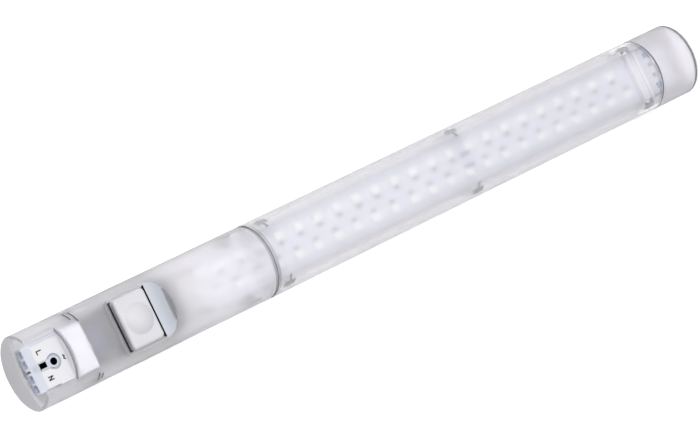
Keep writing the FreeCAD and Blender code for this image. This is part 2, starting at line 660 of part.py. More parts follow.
def make_board_links():
    """Two soldered bridges that join the LED boards end to end."""
    links = []
    for y in (2.5, -2.5):
        links.append(block(LED_BOARD_JOINT, y, LED_BOARD_TOP, (5.0, 1.8, 1.3)))
    rounded = [link.makeFillet(0.5, [e for e in link.Edges if e.BoundBox.ZMax > LED_BOARD_TOP + 1])
               for link in links]
    return Part.makeCompound(rounded)


def make_end_bridge():
    """The white saddle at the end of the LED boards, with two raised bars across it."""
    low = LED_BOARD_TOP - BOARD
    half = 10.8
    base = box((LED_BOARD_RIGHT + 0.3, 155.2), (-half, half), (low, 2.4))
    bars = []
    for x in (150.3, 154.3):
        bar = box((x - 0.8, x + 0.8), (-half, half), (1.0, 4.0))
        crest = [edge for edge in bar.Edges if edge.BoundBox.ZMin > 3.9 and edge.BoundBox.YLength > 1]
        bars.append(bar.makeFillet(0.6, crest))
    return fuse(base, *bars)


def make_end_board():
    z = (LED_BOARD_TOP - BOARD, LED_BOARD_TOP)
    return box((END_BOARD_LEFT, END_BOARD_RIGHT), (-END_BOARD_HALF, END_BOARD_HALF), z)


def make_end_diodes():
    return Part.makeCompound([block(END_PARTS_X, y, LED_BOARD_TOP, (2.6, 2.2, 1.1)) for y in (7.05, -7.05)])


def make_end_capacitors():
    return Part.makeCompound([block(END_PARTS_X, y, LED_BOARD_TOP, (1.5, 1.7, 0.9)) for y in (2.6, -2.4)])


# ---- Wires -------------------------------------------------------------------------------------
BAR_WIRE_Z = CAVITY_Z[0] + BAR_THICKNESS + 0.82


def make_wire_line_in():
    return bent_rod([(-150.0, 7.5, BAR_WIRE_Z), (-145.0, 7.5, BAR_WIRE_Z), (-139.0, 8.3, -3.2),
                     (-132.0, 8.05, -4.9), (-123.6, 8.05, -4.9)], 0.8, 4.0)


def make_wire_line_switched():
    return bent_rod([(-123.6, -8.05, -4.9), (-131.6, -8.05, -4.9), (-131.6, -8.05, DRIVER_TOP)], 0.8, 1.4)


def make_wire_neutral():
    return bent_rod([(-150.0, -8.2, BAR_WIRE_Z), (-142.4, -8.2, BAR_WIRE_Z),
                     (-142.4, -8.2, DRIVER_TOP)], 0.8, 2.5)


def make_wire_led(y):
    return bent_rod([(-95.6, y, DRIVER_TOP), (-95.6, y, 4.2), (-90.4, y, 4.2), (-90.4, y, LED_BOARD_TOP)],
                    0.65, 1.8)


# ---- The lamp ----------------------------------------------------------------------------------
NODES = {
    "rear_shell": make_rear_shell(),
    "front_shell": make_front_shell(),
    "lens_cover": make_lens_cover(),
    "end_cap": make_end_cap(),
    "terminal_housing": make_terminal_housing(),
    "terminal_plate": make_terminal_plate(),
    "terminal_marks": make_terminal_marks(),
    "clamp_springs": make_clamp_springs(),
    "contact_bar_line": make_contact_bar(CAVITY_L),
    "contact_bar_neutral": make_contact_bar(CAVITY_N),
    "terminal_screw": make_terminal_screw(),
    "switch_body": make_switch_body(),
    "switch_holder": make_switch_holder(),
    "switch_tags": make_switch_tags(),
    "switch_spring": make_switch_spring(),
    "button_cap": make_button_cap(),
    "switch_plunger": make_switch_plunger(),
    "contact_bridge": make_contact_bridge(),
    "driver_board": make_driver_board(),
    "film_capacitor": make_film_capacitor(),
    "varistor": make_varistor(),
    "fuse_link": make_fuse_link(),
    "bridge_rectifier": make_bridge_rectifier(),
    "smoothing_capacitor": make_smoothing_capacitor(),
    "choke_core": make_choke_core(),
    "choke_winding": make_choke_winding(),
    "driver_chip": make_driver_chip(),
    "driver_small_parts": make_driver_small_parts(),
    "led_board_a": led_board((LED_BOARD_LEFT, LED_BOARD_JOINT - 0.1)),
    "led_board_b": led_board((LED_BOARD_JOINT + 0.1, LED_BOARD_RIGHT)),
    "leds_a": make_leds((LED_BOARD_LEFT, LED_BOARD_JOINT)),
    "leds_b": make_leds((LED_BOARD_JOINT, LED_BOARD_RIGHT)),
    "led_resistors": make_led_resistors(),
    "board_links": make_board_links(),
    "end_bridge": make_end_bridge(),
    "end_board": make_end_board(),
    "end_diodes": make_end_diodes(),
    "end_capacitors": make_end_capacitors(),
    "wire_line_in": make_wire_line_in(),
    "wire_line_switched": make_wire_line_switched(),
    "wire_neutral": make_wire_neutral(),
    "wire_led_plus": make_wire_led(8.4),
    "wire_led_minus": make_wire_led(-8.4),
}

os.makedirs("parts", exist_ok=True)
for name, shape in NODES.items():
    if not shape.isValid():
        raise RuntimeError(f"{name} isn't a valid shape")
    shape.exportStep(f"parts/{name}.step")
    print(name, len(shape.Solids), round(shape.Volume, 1))
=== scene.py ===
"""Looks of the LED tube lamp: translucent housing, prismatic lens, LEDs, terminal and push switch.

The scene is in metres, in the row frame: +X along the tube to its closed end, +Z to the side the light
leaves. Named sizes and places are in millimetres unless a comment says otherwise.
"""
import json
import math

import bmesh
import bpy
from mathutils import Matrix, Vector


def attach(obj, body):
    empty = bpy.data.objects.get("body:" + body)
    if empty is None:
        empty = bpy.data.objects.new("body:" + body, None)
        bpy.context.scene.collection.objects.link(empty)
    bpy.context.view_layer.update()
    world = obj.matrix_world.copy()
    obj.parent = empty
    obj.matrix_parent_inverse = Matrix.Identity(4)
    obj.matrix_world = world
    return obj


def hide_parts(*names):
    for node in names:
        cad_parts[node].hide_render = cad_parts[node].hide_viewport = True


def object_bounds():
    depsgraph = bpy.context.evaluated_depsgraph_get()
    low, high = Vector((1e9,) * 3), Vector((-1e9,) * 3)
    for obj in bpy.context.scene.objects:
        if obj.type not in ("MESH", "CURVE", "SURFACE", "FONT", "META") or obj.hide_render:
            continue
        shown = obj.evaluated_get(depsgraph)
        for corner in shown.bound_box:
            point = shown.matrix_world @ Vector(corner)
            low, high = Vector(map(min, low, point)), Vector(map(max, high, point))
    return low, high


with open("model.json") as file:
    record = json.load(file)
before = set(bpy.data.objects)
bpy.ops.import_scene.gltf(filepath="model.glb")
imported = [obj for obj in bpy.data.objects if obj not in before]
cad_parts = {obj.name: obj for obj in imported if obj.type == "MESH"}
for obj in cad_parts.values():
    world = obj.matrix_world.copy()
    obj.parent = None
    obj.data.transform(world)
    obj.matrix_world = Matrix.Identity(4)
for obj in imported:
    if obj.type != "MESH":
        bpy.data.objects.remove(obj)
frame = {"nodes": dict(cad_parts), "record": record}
CAD_BOX = [list(corner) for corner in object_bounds()]
NODES = frame["nodes"]
SLOT_OF = {entry["node"]: entry["material_slot"] for entry in frame["record"]["subparts"]}
MM = 0.001

# Camera: angles in degrees, distance in metres, and the aim's shift as a share of the distance
CAMERA_SWING = 32.34
CAMERA_ROLL = -25.868
CAMERA_DISTANCE = 1.44805
CAMERA_AIM_RIGHT = 0.005557
CAMERA_AIM_UP = -0.001688
CAMERA_LENS = 180.17
FILM_WIDTH = 36.0

# Floor in metres. The glow and the sky are strengths, where 1 shows as full white, and the sky changes
# between two heights, where 1 is straight up
FLOOR_SIZE = 12
FLOOR_GAP = 0.0002
FLOOR_GLOW = 0.35
WORLD_HORIZON = 0.22
WORLD_ZENITH = 0.75
WORLD_DARK_BELOW = 0.05
WORLD_BRIGHT_ABOVE = 0.75

# Tube
OUTER_R = 16.0
INNER_R = 14.5

# Lens: it laps over the front shell's tongue, and its ridges stop along a curve near the right end
LENS_LEFT = -61.3
LENS_RIGHT = 153.8
LENS_LAP_END = -59.7
LENS_LAP_R = 15.3
LENS_LAP_STEP = 0.01
PRISM_FROM_LAP = 0.05
LENS_STEPS = 72
REBATE_R = 15.25
REBATE_HEIGHT = 1.6
PRISM_PITCH = 1.2
PRISM_DEPTH = 0.022
PRISM_END = 140.7
PRISM_END_RISE = 5.3
PRISM_END_AT = 10.8

# Snap hooks under the lens, with spans of y for the +Y side
HOOK_X = (-55.0, 47.0, 146.6)
HOOK_TOP_R = 15.97
HOOK_THICKNESS = 0.7
HOOK_BAR_HALF = 2.6
HOOK_BAR_Y = (12.7, 13.9)
HOOK_STEM_HALF = 0.4
HOOK_STEM_Y = (10.6, 14.3)

# Snap slots in the front shell, as x and a span of y
SNAP_SLOTS = ((-151.0, (9.5, 14.2)), (-153.2, (11.0, 14.4)),
              (-151.0, (-14.8, -12.3)), (-149.2, (-14.6, -13.0)))
SNAP_SLOT_HALF = 0.25
SNAP_SLOT_R = 15.83
SNAP_SLOT_DEPTH = 0.6

# Rims of the front shell: a section as (x, radius), and an arc in degrees
# The seam bead is a thin white rim on the front shell's edge at the seam, a painted highlight
SEAM_BEAD = ((-63.4, 15.6), (-63.4, 15.84), (-63.3, 15.92), (-63.1, 15.92), (-63.0, 15.84), (-63.0, 15.6))
SEAM_BEAD_ARC = (2, 178)
OPENING_EDGE = ((-161.45, 14.5), (-161.45, 15.6), (-161.35, 15.75), (-161.15, 15.78), (-161.05, 14.5))
OPENING_EDGE_ARC = (46, 134)
RIM_STEPS = 60

# LED boards, and LEDs in rows of (y, first x). Rings are (radius, height over the board)
BOARD_TOP = 1.0
BOARD_JOINT = 52.5
BOARD_SPANS = {"leds_a": (-100.0, BOARD_JOINT), "leds_b": (BOARD_JOINT, 160.0)}
LED_PITCH = 10.3
LED_ROWS = ((5.35, -88.0), (-5.35, -82.8))
LED_COUNT = 23
LED_HALF_X = 2.0
LED_HALF_Y = 1.75
LED_HEIGHT = 0.85
LED_BEVEL = 0.18
LED_RIM = ((1.62, 0.8), (1.62, 1.0), (1.54, 1.08), (1.42, 1.08), (1.30, 0.93), (1.28, 0.84))
LED_PHOSPHOR = ((1.29, 0.83), (1.29, 0.92), (0.9, 0.96), (0.4, 0.97))
LED_END_X = (1.9, 2.35)
LED_END_HALF_Y = 1.3
LED_END_HEIGHT = 0.28
LED_END_BEVEL = 0.08

# Chip resistors, one beside each LED except at the joint of the boards
RESISTOR_Y = 2.2
RESISTOR_FROM_JOINT = 4.5
RESISTOR_HALF_X = 1.2
RESISTOR_HALF_Y = 0.68
RESISTOR_HEIGHT = 0.45
RESISTOR_BEVEL = 0.05
RESISTOR_TOP_HALF_X = 1.05
RESISTOR_TOP_HALF_Y = 0.62
RESISTOR_TOP_Z = (0.43, 0.55)
RESISTOR_TOP_BEVEL = 0.04
RESISTOR_END_X = (1.1, 1.6)
RESISTOR_END_HALF_Y = 0.7
RESISTOR_END_HEIGHT = 0.56
RESISTOR_END_BEVEL = 0.1

# Tracks between the LEDs, and rails beside them
TRACK_THICKNESS = 0.05
TRACK_BEVEL = 0.02
TRACK_FROM_LED = 2.6
TRACK_HALF_Y = 1.9
TRACK_LAST_LED = 149.0
TRACK_FROM_JOINT = 5.5
RAIL_SPANS = ((-89.0, 51.0), (54.0, 146.0))
RAIL_Y = 9.4
RAIL_HALF_Y = 0.5

LATHE_STEPS = 24

# Faces that take another finish. SQUARE_ON and LEANING are how far a face turns to an axis, 1 for fully
SQUARE_ON = 0.9
LEANING = 0.45
SCREW_AT = (-166.9, -0.5)
SCREW_WELL_R = 1.65
SLOT_X = (-173.4, -170.2)
SLOT_Y = (-1.5, 0.9)
SLOT_FLOOR = 1.2
TONGUE_LEFT = -62.65
WINDOW_X = (-141.0, -112.0)
WINDOW_HALF_Y = 11.2
WINDOW_Z = (6.0, 11.9)
SCOOP_X = (-118.5, -104.0)
SCOOP_R = 15.7
SCOOP_FLOOR = 9.0
BULKHEAD_X = -161.2
BULKHEAD_NEAR = 0.05
RIM_INNER_R = INNER_R - 0.3
REAR_END_FACE = -175.4
CAP_SEAM_FACE = 154.55
RIM_LINE_X = (173.5, 174.5)
RIM_LINE_R = 15.7

# Places where a finish changes: the two ends of each change, along X or above the tube's axis
# The painted shade along both sides of the tube fades out over these two spans, below and above the axis
SIDE_SHADE_RISE_Z = (-6.0, -2.5)
SIDE_SHADE_FALL_Z = (2.5, 8.0)
DRIVER_RISE_X = (-162.0, -158.0)
DRIVER_FALL_X = (-98.0, -88.0)
HAZE_RISE_X = (-114.0, -104.0)
HAZE_FALL_X = (-100.0, -84.0)
CAP_RISE_X = (153.0, 155.0)
SATIN_END_X = (139.5, 143.5)
# The lens's painted shade: along its long edges, at the seam and at its far end
LENS_EDGE_SHADE_Z = (2.0, 4.6)
SEAM_SHADE_X = (-60.4, -60.1)
FAR_END_SHADE_X = (152.2, 152.6)

# Textures, in features per metre and metres of depth
PLASTIC_GRAIN = 2500.0
PLASTIC_GRAIN_DEPTH = 0.00002
PLASTIC_MOTTLE = 60.0
FROST_GRAIN = 1800.0
FROST_GRAIN_DEPTH = 0.00003
LENS_GRAIN = 900.0
METAL_SCRATCHES = 3000.0

# Finishes of the translucent plastics. Roughness and clarity go from 0 to 1
FROST_ROUGHNESS = (0.285, 0.37)
FROST_IOR = 1.30
FROST_HAZE = 0.72
FROST_SHADOW = (0.94, 0.94, 0.95)
FROST_ABSORBS = (0.30, 0.27, 0.38)
LENS_COLOR = (0.985, 0.98, 0.99)
# The colour of the lens's painted shade
LENS_SHADE_COLOR = (0.52, 0.51, 0.55)
LENS_IOR = 1.58
LENS_CLARITY = 0.95
LENS_SATIN = 0.20
LENS_GLOSS = 0.02
LENS_SATIN_SPREAD = (0.7, 1.3)
LENS_SEAM_SHADE = 0.2
LENS_END_SHADE = 0.7
LENS_SHADOW = (0.99, 0.99, 1.0)
LENS_ABSORBS = (0.25, 0.22, 0.32)
LENS_DENSITY = 36.0

# Moulded plastics and metals, as colour and roughness
PLASTICS = {
    "frosted_floor": ((0.60, 0.63, 0.69), 0.35),
    # Painted shade on the rear shell's flat face at the terminal end
    "end_face_shade": ((0.43, 0.425, 0.45), 0.35),
    # Painted shade on the front shell's cut rims that face the terminal end
    "rim_shade_grey": ((0.34, 0.34, 0.36), 0.35),
    "bulkhead_white": ((0.84, 0.84, 0.88), 0.35),
    # Painted shade on the tongue in the groove under the seam
    "groove_shade_grey": ((0.50, 0.50, 0.53), 0.4),
    # Painted highlight: the white of the bead along the seam
    "bead_highlight_white": ((0.84, 0.84, 0.87), 0.3),
    # Painted shade in gaps and openings: the snap slots, the switch window's walls and the holder past the
    # button
    "gap_shade_grey": ((0.11, 0.11, 0.12), 0.5),
    "seam_shadow": ((0.31, 0.31, 0.34), 0.5),
    "hook_plastic": ((0.45, 0.45, 0.47), 0.35),
    "switch_black": ((0.03, 0.03, 0.034), 0.5),
    "white_plastic": ((0.86, 0.86, 0.88), 0.45),
    "button_grey": ((0.76, 0.76, 0.79), 0.38),
    "black_print": ((0.01, 0.01, 0.012), 0.5),
    "driver_green": ((0.020, 0.075, 0.060), 0.4),
    "led_board_white": ((0.79, 0.805, 0.86), 0.4),
    "led_white": ((0.98, 0.98, 0.99), 0.3),
    "phosphor": ((0.97, 0.96, 0.92), 0.35),
    "resistor_grey": ((0.53, 0.55, 0.61), 0.4),
    "track_white": ((0.84, 0.85, 0.89), 0.38),
    "glass_diode": ((0.50, 0.56, 0.66), 0.3),
    "pale_ceramic": ((0.62, 0.54, 0.56), 0.45),
    "component_black": ((0.03, 0.03, 0.035), 0.5),
    "component_blue": ((0.075, 0.095, 0.16), 0.4),
    "capacitor_sleeve": ((0.05, 0.06, 0.10), 0.3),
    "fuse_white": ((0.75, 0.72, 0.65), 0.5),
    "ferrite": ((0.05, 0.045, 0.045), 0.6),
    "wire_brown": ((0.16, 0.10, 0.07), 0.35),
    "wire_blue": ((0.03, 0.09, 0.40), 0.35),
    "wire_red": ((0.26, 0.10, 0.10), 0.35),
    "wire_black": ((0.015, 0.015, 0.015), 0.35),
}
METALS = {
    "blackened_steel": ((0.006, 0.006, 0.007), 0.45),
    "spring_steel": ((0.6, 0.6, 0.62), 0.25),
    "tinned_copper": ((0.75, 0.72, 0.68), 0.3),
    "solder": ((0.72, 0.72, 0.73), 0.32),
    "copper_winding": ((0.55, 0.24, 0.10), 0.3),
}

# CAD nodes seen through the lens or past the button, whose finish differs from their slot's
FINER_FINISH = {
    "end_diodes": "glass_diode",
    "end_capacitors": "pale_ceramic",
    "board_links": "resistor_grey",
    # The switch holder, seen past the button, is shown in the gap's painted shade
    "switch_holder": "gap_shade_grey",
}


# ---- Camera, floor and light -------------------------------------------------------------------
def add_camera():
    """Looks from the terminal end and the lit side, with the tube rising to the right."""
    swing = math.radians(CAMERA_SWING)
    roll = math.radians(CAMERA_ROLL)
    back = Vector((-math.sin(swing), 0, math.cos(swing)))
    along = Vector((math.cos(swing), 0, math.sin(swing)))
    across = back.cross(along)
    right = along * math.cos(roll) + across * math.sin(roll)
    up = -along * math.sin(roll) + across * math.cos(roll)
    back = (back + right * CAMERA_AIM_RIGHT - up * CAMERA_AIM_UP).normalized()
    right = up.cross(back).normalized()
    up = back.cross(right)
    data = bpy.data.cameras.new("camera")
    data.sensor_width = FILM_WIDTH
    data.lens = CAMERA_LENS
    data.clip_start, data.clip_end = 0.05, 20.0
    camera = bpy.data.objects.new("camera", data)
    bpy.context.scene.collection.objects.link(camera)
    camera.matrix_world = Matrix((
        (right.x, up.x, back.x, -math.sin(swing) * CAMERA_DISTANCE),
        (right.y, up.y, back.y, 0.0),
        (right.z, up.z, back.z, math.cos(swing) * CAMERA_DISTANCE),
        (0, 0, 0, 1)))
    bpy.context.scene.camera = camera


def add_floor():
    """A plain white floor, just under the tube. Its faint glow keeps it white under the soft light."""
    bpy.ops.mesh.primitive_plane_add(size=FLOOR_SIZE, location=(0, 0, CAD_BOX[0][2] - FLOOR_GAP))
    floor = bpy.context.object
    floor.name = "floor"
    material, tree, shader = new_material("floor_white", (0.94, 0.94, 0.94), 0.9)
    shader.inputs["Emission Color"].default_value = (1, 1, 1, 1)
    shader.inputs["Emission Strength"].default_value = FLOOR_GLOW
    floor.data.materials.append(material)


def add_area(name, location, size, power):
    """A soft rectangular lamp that faces the middle of the tube, in metres and watts."""
    data = bpy.data.lights.new(name, "AREA")
    data.shape = "RECTANGLE"
    data.size, data.size_y = size
    data.energy = power
    light = bpy.data.objects.new(name, data)
    light.location = location
    light.rotation_euler = Vector(location).to_track_quat("Z", "Y").to_euler()
    bpy.context.scene.collection.objects.link(light)


def add_world():
    """A studio tent: bright overhead, and darker towards the horizon, which draws the tube's edges."""
    world = bpy.data.worlds.new("studio")
    world.use_nodes = True
    tree = world.node_tree
    place = tree.nodes.new("ShaderNodeTexCoord")
    split = tree.nodes.new("ShaderNodeSeparateXYZ")
    span = tree.nodes.new("ShaderNodeMapRange")
    span.interpolation_type = "SMOOTHSTEP"
    span.inputs["From Min"].default_value = WORLD_DARK_BELOW
    span.inputs["From Max"].default_value = WORLD_BRIGHT_ABOVE
    span.inputs["To Min"].default_value = WORLD_HORIZON
    span.inputs["To Max"].default_value = WORLD_ZENITH
    tree.links.new(place.outputs["Generated"], split.inputs["Vector"])
    tree.links.new(split.outputs["Z"], span.inputs["Value"])
    background = tree.nodes["Background"]
    background.inputs["Color"].default_value = (0.98, 0.98, 1.0, 1)
    tree.links.new(span.outputs["Result"], background.inputs["Strength"])
    bpy.context.scene.world = world


def add_light():
    add_world()
    add_area("softbox_top", (-0.1, 0.0, 1.35), (1.0, 0.5), 3.4)
    add_area("softbox_side", (-0.6, 0.55, 0.95), (0.6, 0.4), 3.8)
    bpy.context.scene.view_settings.view_transform = "Standard"


# ---- Materials ---------------------------------------------------------------------------------
def new_material(name, color, roughness, **values):
    """A material with one Principled shader. values sets its other inputs, named with underscores."""
    material = bpy.data.materials.new(name)
    material.use_nodes = True
    tree = material.node_tree
    shader = tree.nodes["Principled BSDF"]
    shader.inputs["Base Color"].default_value = (*color, 1)
    shader.inputs["Roughness"].default_value = roughness
    for key, value in values.items():
        shader.inputs[key.replace("_", " ")].default_value = value
    return material, tree, shader


def add_noise(tree, scale, detail=3.0):
    """A noise texture in object space. scale is features per metre."""
    place = tree.nodes.new("ShaderNodeTexCoord")
    noise = tree.nodes.new("ShaderNodeTexNoise")
    noise.inputs["Scale"].default_value = scale
    noise.inputs["Detail"].default_value = detail
    tree.links.new(place.outputs["Object"], noise.inputs["Vector"])
    return noise


def add_bump(tree, shader, height, strength, distance):
    """Roughens the surface with a height texture. distance is in metres."""
    bump = tree.nodes.new("ShaderNodeBump")
    bump.inputs["Strength"].default_value = strength
    bump.inputs["Distance"].default_value = distance
    tree.links.new(height, bump.inputs["Height"])
    tree.links.new(bump.outputs["Normal"], shader.inputs["Normal"])


def vary(tree, shader, source, socket, low, high):
    """Drives a shader input between two values, or two colours, with a texture."""
    if isinstance(low, tuple):
        mix = tree.nodes.new("ShaderNodeMix")
        mix.data_type = "RGBA"
        mix.inputs["A"].default_value = (*low, 1)
        mix.inputs["B"].default_value = (*high, 1)
        tree.links.new(source, mix.inputs["Factor"])
        tree.links.new(mix.outputs["Result"], shader.inputs[socket])
        return
    span = tree.nodes.new("ShaderNodeMapRange")
    span.inputs["To Min"].default_value = low
    span.inputs["To Max"].default_value = high
    tree.links.new(source, span.inputs["Value"])
    tree.links.new(span.outputs["Result"], shader.inputs[socket])


def plastic(name, color, roughness, **values):
    """Moulded plastic: a fine grain, and small changes of shade and gloss."""
    material, tree, shader = new_material(name, color, roughness, **values)
    fine = add_noise(tree, PLASTIC_GRAIN)
    add_bump(tree, shader, fine.outputs["Fac"], 0.35, PLASTIC_GRAIN_DEPTH)
    broad = add_noise(tree, PLASTIC_MOTTLE, 2.0)
    darker = tuple(c * 0.93 for c in color)
    vary(tree, shader, broad.outputs["Fac"], "Base Color", darker, color)
    vary(tree, shader, fine.outputs["Fac"], "Roughness", roughness * 0.85, min(1, roughness * 1.2))
    return material


def absorb(tree, color, density):
    """Tints clear plastic by the length of the light's way through it. density is per metre."""
    volume = tree.nodes.new("ShaderNodeVolumeAbsorption")
    volume.inputs["Color"].default_value = (*color, 1)
    volume.inputs["Density"].default_value = density
    tree.links.new(volume.outputs["Volume"], tree.nodes["Material Output"].inputs["Volume"])


def let_light_in(tree, shader, color):
    """Lets the lamps light what is inside, which they can't do through refraction alone."""
    path = tree.nodes.new("ShaderNodeLightPath")
    clear = tree.nodes.new("ShaderNodeBsdfTransparent")
    clear.inputs["Color"].default_value = (*color, 1)
    mix = tree.nodes.new("ShaderNodeMixShader")
    tree.links.new(path.outputs["Is Shadow Ray"], mix.inputs["Fac"])
    tree.links.new(shader.outputs["BSDF"], mix.inputs[1])
    tree.links.new(clear.outputs["BSDF"], mix.inputs[2])
    tree.links.new(mix.outputs["Shader"], tree.nodes["Material Output"].inputs["Surface"])


def frosted(name, color, density, clarity, side_shade):
    """Satin clear plastic, with painted shade along both sides of the tube where the shells overlap, and
    hazier over the driver.
    """
    material, tree, shader = new_material(name, color, FROST_ROUGHNESS[0], IOR=FROST_IOR,
                                          Transmission_Weight=clarity)
    # Painted shade: the base colour darkens along the tube's sides, near the height of the axis
    side_shade_mask = band(tree, "Z", SIDE_SHADE_RISE_Z, SIDE_SHADE_FALL_Z)
    vary(tree, shader, side_shade_mask, "Base Color", color, tuple(c * side_shade for c in color))
    fine = add_noise(tree, FROST_GRAIN)
    add_bump(tree, shader, fine.outputs["Fac"], 0.25, FROST_GRAIN_DEPTH)
    driver = band(tree, "X", DRIVER_RISE_X, DRIVER_FALL_X)
    blur = join_numbers(tree, "MAXIMUM", driver, ramp(tree, "X", *CAP_RISE_X, 0.0, 1.0))
    vary(tree, shader, blur, "Roughness", *FROST_ROUGHNESS)
    hazy = band(tree, "X", HAZE_RISE_X, HAZE_FALL_X)
    vary(tree, shader, hazy, "Transmission Weight", clarity, clarity * FROST_HAZE)
    let_light_in(tree, shader, FROST_SHADOW)
    absorb(tree, FROST_ABSORBS, density)
    return material


def ramp(tree, axis, low, high, start, end):
    """Goes from one number to another between two places, in mm, along an axis of the object."""
    place = tree.nodes.new("ShaderNodeTexCoord")
    split = tree.nodes.new("ShaderNodeSeparateXYZ")
    span = tree.nodes.new("ShaderNodeMapRange")
    span.interpolation_type = "SMOOTHSTEP"
    span.inputs["From Min"].default_value = low * MM
    span.inputs["From Max"].default_value = high * MM
    span.inputs["To Min"].default_value = start
    span.inputs["To Max"].default_value = end
    tree.links.new(place.outputs["Object"], split.inputs["Vector"])
    tree.links.new(split.outputs[axis], span.inputs["Value"])
    return span.outputs["Result"]


def join_numbers(tree, operation, one, two):
    """The result of a sum, product or the like of two sockets."""
    node = tree.nodes.new("ShaderNodeMath")
    node.operation = operation
    tree.links.new(one, node.inputs[0])
    tree.links.new(two, node.inputs[1])
    return node.outputs["Value"]


def band(tree, axis, rise, fall):
    """1 between two places along an axis of the object and 0 past them, with a soft change at each."""
    up = ramp(tree, axis, *rise, 0.0, 1.0)
    down = ramp(tree, axis, *fall, 1.0, 0.0)
    return join_numbers(tree, "MULTIPLY", up, down)


def clear_lens():
    """Clear plastic: satin over the prisms, clear past them, with painted shade along its long edges, at the
    seam and at the far end.
    """
    material, tree, shader = new_material("clear_polycarbonate", LENS_COLOR, LENS_SATIN, IOR=LENS_IOR,
                                          Transmission_Weight=LENS_CLARITY)
    fine = add_noise(tree, LENS_GRAIN)
    grain = tree.nodes.new("ShaderNodeMapRange")
    grain.inputs["To Min"].default_value = LENS_SATIN_SPREAD[0]
    grain.inputs["To Max"].default_value = LENS_SATIN_SPREAD[1]
    tree.links.new(fine.outputs["Fac"], grain.inputs["Value"])
    satin = ramp(tree, "X", *SATIN_END_X, LENS_SATIN, LENS_GLOSS)
    rough = join_numbers(tree, "MULTIPLY", satin, grain.outputs["Result"])
    tree.links.new(rough, shader.inputs["Roughness"])
    # Painted shade: greyer along the long edges, at the seam and at the far end
    edge = ramp(tree, "Z", *LENS_EDGE_SHADE_Z, 1.0, 0.0)
    seam = ramp(tree, "X", *SEAM_SHADE_X, LENS_SEAM_SHADE, 0.0)
    far_end = ramp(tree, "X", *FAR_END_SHADE_X, 0.0, LENS_END_SHADE)
    shade = join_numbers(tree, "MAXIMUM", join_numbers(tree, "MAXIMUM", edge, seam), far_end)
    vary(tree, shader, shade, "Base Color", LENS_COLOR, LENS_SHADE_COLOR)
    let_light_in(tree, shader, LENS_SHADOW)
    absorb(tree, LENS_ABSORBS, LENS_DENSITY)
    return material


def metal(name, color, roughness):
    """Bare metal, with its gloss broken up finely."""
    material, tree, shader = new_material(name, color, roughness, Metallic=1.0)
    scratch = add_noise(tree, METAL_SCRATCHES)
    vary(tree, shader, scratch.outputs["Fac"], "Roughness", roughness * 0.7, roughness * 1.4)
    return material


def build_materials():
    """Every finish by its name. Most names are also material slots of the record."""
    finishes = {name: plastic(name, *look) for name, look in PLASTICS.items()}
    finishes.update({name: metal(name, *look) for name, look in METALS.items()})
    # The housing's painted side shade is strong, the rear shell's faint
    finishes["frosted_housing"] = frosted("frosted_polycarbonate", (0.975, 0.965, 0.98), density=30.0,
                                          clarity=0.84, side_shade=0.70)
    finishes["frosted_rear"] = frosted("frosted_rear", (0.985, 0.98, 0.985), density=12.0, clarity=0.45,
                                       side_shade=0.97)
    finishes["clear_lens"] = clear_lens()
    # Painted shade for holes and deep gaps: near black, with its gloss turned down
    finishes["hole_shade_black"] = plastic("hole_shade_black", (0.004, 0.005, 0.006), 0.8, Specular_IOR_Level=0.05)
    finishes["terminal_blue"] = plastic("terminal_blue_nylon", (0.72, 0.76, 0.86), 0.35,
                                        Subsurface_Weight=0.6, Subsurface_Radius=(1, 1, 1),
                                        Subsurface_Scale=0.003)
    return finishes


# ---- Pieces ------------------------------------------------------------------------------------
def add_piece(name, mesh, finishes, body, slot, *nodes):
    """A mesh object with its finishes, on a CAD body, in place of CAD nodes if any are named."""
    piece = bpy.data.objects.new(name, mesh)
    bpy.context.scene.collection.objects.link(piece)
    finish_of_face = [face.material_index for face in mesh.polygons]
    mesh.materials.clear()
    for finish in finishes:
        mesh.materials.append(MATERIALS[finish])
    for face, index in zip(mesh.polygons, finish_of_face):
        face.material_index = index
    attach(piece, body)
    if nodes:
        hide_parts(*nodes)


def finish_faces(node, body, finishes, pick):
    """A copy of a CAD node in several finishes. pick names a face's, from its middle in mm and normal."""
    mesh = NODES[node].data.copy()
    for face in mesh.polygons:
        face.material_index = finishes.index(pick(face.center / MM, face.normal))
    add_piece(f"{node}_finished", mesh, finishes, body, SLOT_OF[node], node)


def radius_of(point):
    """How far a point is from the tube's axis."""
    return math.hypot(point.y, point.z)


def within(value, span):
    return span[0] < value < span[1]


def pick_terminal(point, normal):
    """The screw's well and the slot are black as painted shade. The rest is light blue."""
    near_screw = math.hypot(point.x - SCREW_AT[0], point.y - SCREW_AT[1]) < SCREW_WELL_R
    in_slot = within(point.x, SLOT_X) and within(point.y, SLOT_Y) and point.z > SLOT_FLOOR
    return "hole_shade_black" if near_screw or in_slot else "terminal_blue"


def pick_front_shell(point, normal):
    """Greys for the tongue under the seam, the rim, the bulkhead, and the walls and floor at the switch."""
    # The tongue in the seam's groove is grey as painted shade
    if point.x > TONGUE_LEFT:
        return "groove_shade_grey"
    in_window = within(point.x, WINDOW_X) and abs(point.y) < WINDOW_HALF_Y and within(point.z, WINDOW_Z)
    # The switch window's walls are painted shade: black where a wall faces the terminal end, dark grey
    # elsewhere
    if in_window and abs(normal.x) > SQUARE_ON:
        return "hole_shade_black" if normal.x < 0 else "gap_shade_grey"
    in_scoop = within(point.x, SCOOP_X) and radius_of(point) < SCOOP_R and point.z > SCOOP_FLOOR
    if in_scoop and normal.z > LEANING:
        return "frosted_floor"
    if abs(point.x - BULKHEAD_X) < BULKHEAD_NEAR:
        return "bulkhead_white"
    # The cut rim facing the terminal end is dark grey as painted shade
    on_rim = normal.x < -SQUARE_ON and radius_of(point) > RIM_INNER_R
    return "rim_shade_grey" if on_rim else "frosted_housing"


